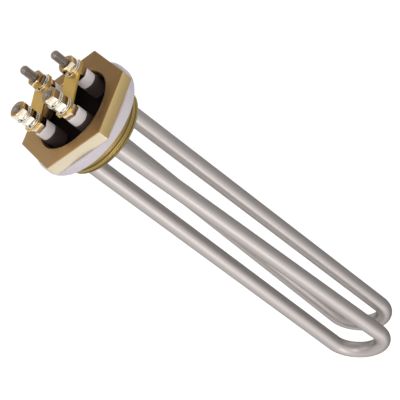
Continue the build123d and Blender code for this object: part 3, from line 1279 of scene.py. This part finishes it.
@dataclass
class Studio:
    """Pale floor, soft lamps, a world that is white round the horizon and dimmer above, and the camera."""

    floor_height: float = -0.55
    floor_reach: float = 20.0
    floor_glow: float = 0.48
    card_from: tuple[float, float, float] = (-0.35, -0.1, -0.53)
    card_to: tuple[float, float] = (1.2, 1.0)
    card_level: float = 0.4
    lens: float = 116.46
    camera_place: tuple[float, float, float] = (0.34689, -0.31396, 0.27528)
    camera_right: tuple[float, float, float] = (0.75735, 0.12573, -0.64079)
    camera_up: tuple[float, float, float] = (0.27230, 0.83110, 0.48491)
    lamps: tuple[Lamp, ...] = (
        Lamp("low_front_softbox", (0.225, -0.556, -0.44), (0.26, 0.2), 0.58),
        Lamp("front_softbox", (0.55, -0.75, 0.55), (0.5, 0.5), 2.4),
        Lamp("overhead_softbox", (-0.35, -0.1, 0.9), (0.5, 0.5), 2.4),
    )

    def build_floor(self) -> None:
        """Makes the floor: white paint, with a glow of its own for rays that see it as the background."""
        reach = self.floor_reach
        mesh = bpy.data.meshes.new("floor")
        height = self.floor_height
        mesh.from_pydata(
            [(-reach, -reach, height), (reach, -reach, height), (reach, reach, height), (-reach, reach, height)],
            [],
            [(0, 1, 2, 3)],
        )
        paint = bpy.data.materials.new("white_floor_paint")
        paint.use_nodes = True
        tree = paint.node_tree
        tree.nodes.clear()
        path = add(tree, "ShaderNodeLightPath")
        seen = add(
            tree, "ShaderNodeMath", {"operation": "MAXIMUM"}, {0: (path, "Is Camera Ray"), 1: (path, "Is Glossy Ray")}
        )
        seen = add(
            tree, "ShaderNodeMath", {"operation": "MAXIMUM"}, {0: (seen, "Value"), 1: (path, "Is Transmission Ray")}
        )
        level = add(tree, "ShaderNodeMath", {"operation": "MULTIPLY", 1: self.floor_glow}, {0: (seen, "Value")})
        glow = add(tree, "ShaderNodeEmission", {"Color": (1, 1, 1, 1)}, {"Strength": (level, "Value")})
        paint_colour = add(tree, "ShaderNodeBsdfDiffuse", {"Color": (0.8, 0.8, 0.8, 1)})
        both = add(tree, "ShaderNodeAddShader", links={0: (glow, "Emission"), 1: (paint_colour, "BSDF")})
        add(tree, "ShaderNodeOutputMaterial", links={"Surface": (both, "Shader")})
        mesh.materials.append(paint)
        floor = bpy.data.objects.new("floor", mesh)
        bpy.context.scene.collection.objects.link(floor)

    def build_card(self) -> None:
        """Makes the grey card that lies on the right of the floor and darkens what metal shows of it.

        Only reflections see it, so it takes no light from the heater and stays out of the picture.
        """
        low, high = self.card_from, self.card_to
        mesh = bpy.data.meshes.new("grey_card")
        mesh.from_pydata(
            [(low[0], low[1], low[2]), (high[0], low[1], low[2]), (high[0], high[1], low[2]), (low[0], high[1], low[2])],
            [],
            [(0, 1, 2, 3)],
        )
        paper = bpy.data.materials.new("grey_card_paper")
        paper.use_nodes = True
        tree = paper.node_tree
        tree.nodes.clear()
        glow = add(tree, "ShaderNodeEmission", {"Color": (1, 1, 1, 1), "Strength": self.card_level})
        add(tree, "ShaderNodeOutputMaterial", links={"Surface": (glow, "Emission")})
        mesh.materials.append(paper)
        card = bpy.data.objects.new("grey_card", mesh)
        bpy.context.scene.collection.objects.link(card)
        card.visible_camera = card.visible_diffuse = card.visible_transmission = card.visible_shadow = False

    def build_world(self) -> None:
        """Makes the world: white up to about 15 degrees above the horizon, then falling to a dim grey."""
        world = bpy.data.worlds.new("studio")
        world.use_nodes = True
        tree = world.node_tree
        tree.nodes.clear()
        way = add(tree, "ShaderNodeTexCoord")
        parts = add(tree, "ShaderNodeSeparateXYZ", links={"Vector": (way, "Generated")})
        level = add(
            tree,
            "ShaderNodeMapRange",
            {"From Min": 0.25, "From Max": 0.5, "To Min": 1.0, "To Max": 0.6, "interpolation_type": "SMOOTHSTEP"},
            {"Value": (parts, "Z")},
        )
        light = add(tree, "ShaderNodeBackground", {"Color": (1, 1, 1, 1)}, {"Strength": (level, "Result")})
        add(tree, "ShaderNodeOutputWorld", links={"Surface": (light, "Background")})
        bpy.context.scene.world = world

    def build_camera(self) -> None:
        """Makes the camera, standing where the photograph was taken from."""
        data = bpy.data.cameras.new("camera")
        data.sensor_width = 36.0
        data.lens = self.lens
        data.clip_start, data.clip_end = 0.01, 50.0
        camera = bpy.data.objects.new("camera", data)
        right, up = Vector(self.camera_right), Vector(self.camera_up)
        turn = Matrix((right, up, right.cross(up))).transposed().to_4x4()
        camera.matrix_world = Matrix.Translation(self.camera_place) @ turn
        bpy.context.scene.collection.objects.link(camera)
        bpy.context.scene.camera = camera

    def build(self) -> None:
        """Makes all of the studio."""
        bpy.context.scene.view_settings.view_transform = "Standard"
        self.build_floor()
        self.build_card()
        self.build_world()
        self.build_camera()
        for lamp in self.lamps:
            lamp.build()


def dress_hidden_nodes(finishes: dict[str, bpy.types.Material]) -> None:
    """Gives each CAD node that is still shown the material of its own slot in the record."""
    slots = {part["node"]: part["material_slot"] for part in frame["record"]["subparts"]}
    for name, node in frame["nodes"].items():
        if node.hide_render:
            continue
        finish = finishes[slots[name]]
        for place in node.material_slots:
            place.material = finish
        log.info("%s: CAD node, dressed as %s", name, finish.name)


def main() -> None:
    """Builds the heater piece by piece, then the studio."""
    logging.basicConfig(level=logging.INFO, format="%(message)s")
    shop = Workshop()
    finishes = {name: getattr(shop, name).material() for name in shop.__dataclass_fields__}
    ScrewPlug(finishes).build()
    for row in Row:
        HairpinElement(row, finishes).build()
    BrazedJoints(finishes).build()
    nut_turns = {
        (Row.FRONT, Side.RIGHT): {"under": 12.0, "clamp": 30.0, "lead": 27.0},
        (Row.FRONT, Side.LEFT): {"under": 35.0, "clamp": 33.0, "lead": 45.0},
        (Row.REAR, Side.RIGHT): {"under": 25.0, "clamp": 48.0},
        (Row.REAR, Side.LEFT): {"under": 52.0, "clamp": 12.0},
    }
    for (row, side), turns in nut_turns.items():
        TerminalPost(side, row, turns, finishes).build()
    for side in Side:
        JumperPlate(side, finishes).build()
    dress_hidden_nodes(finishes)
    Studio().build()


if __name__ == "__main__":
    main()
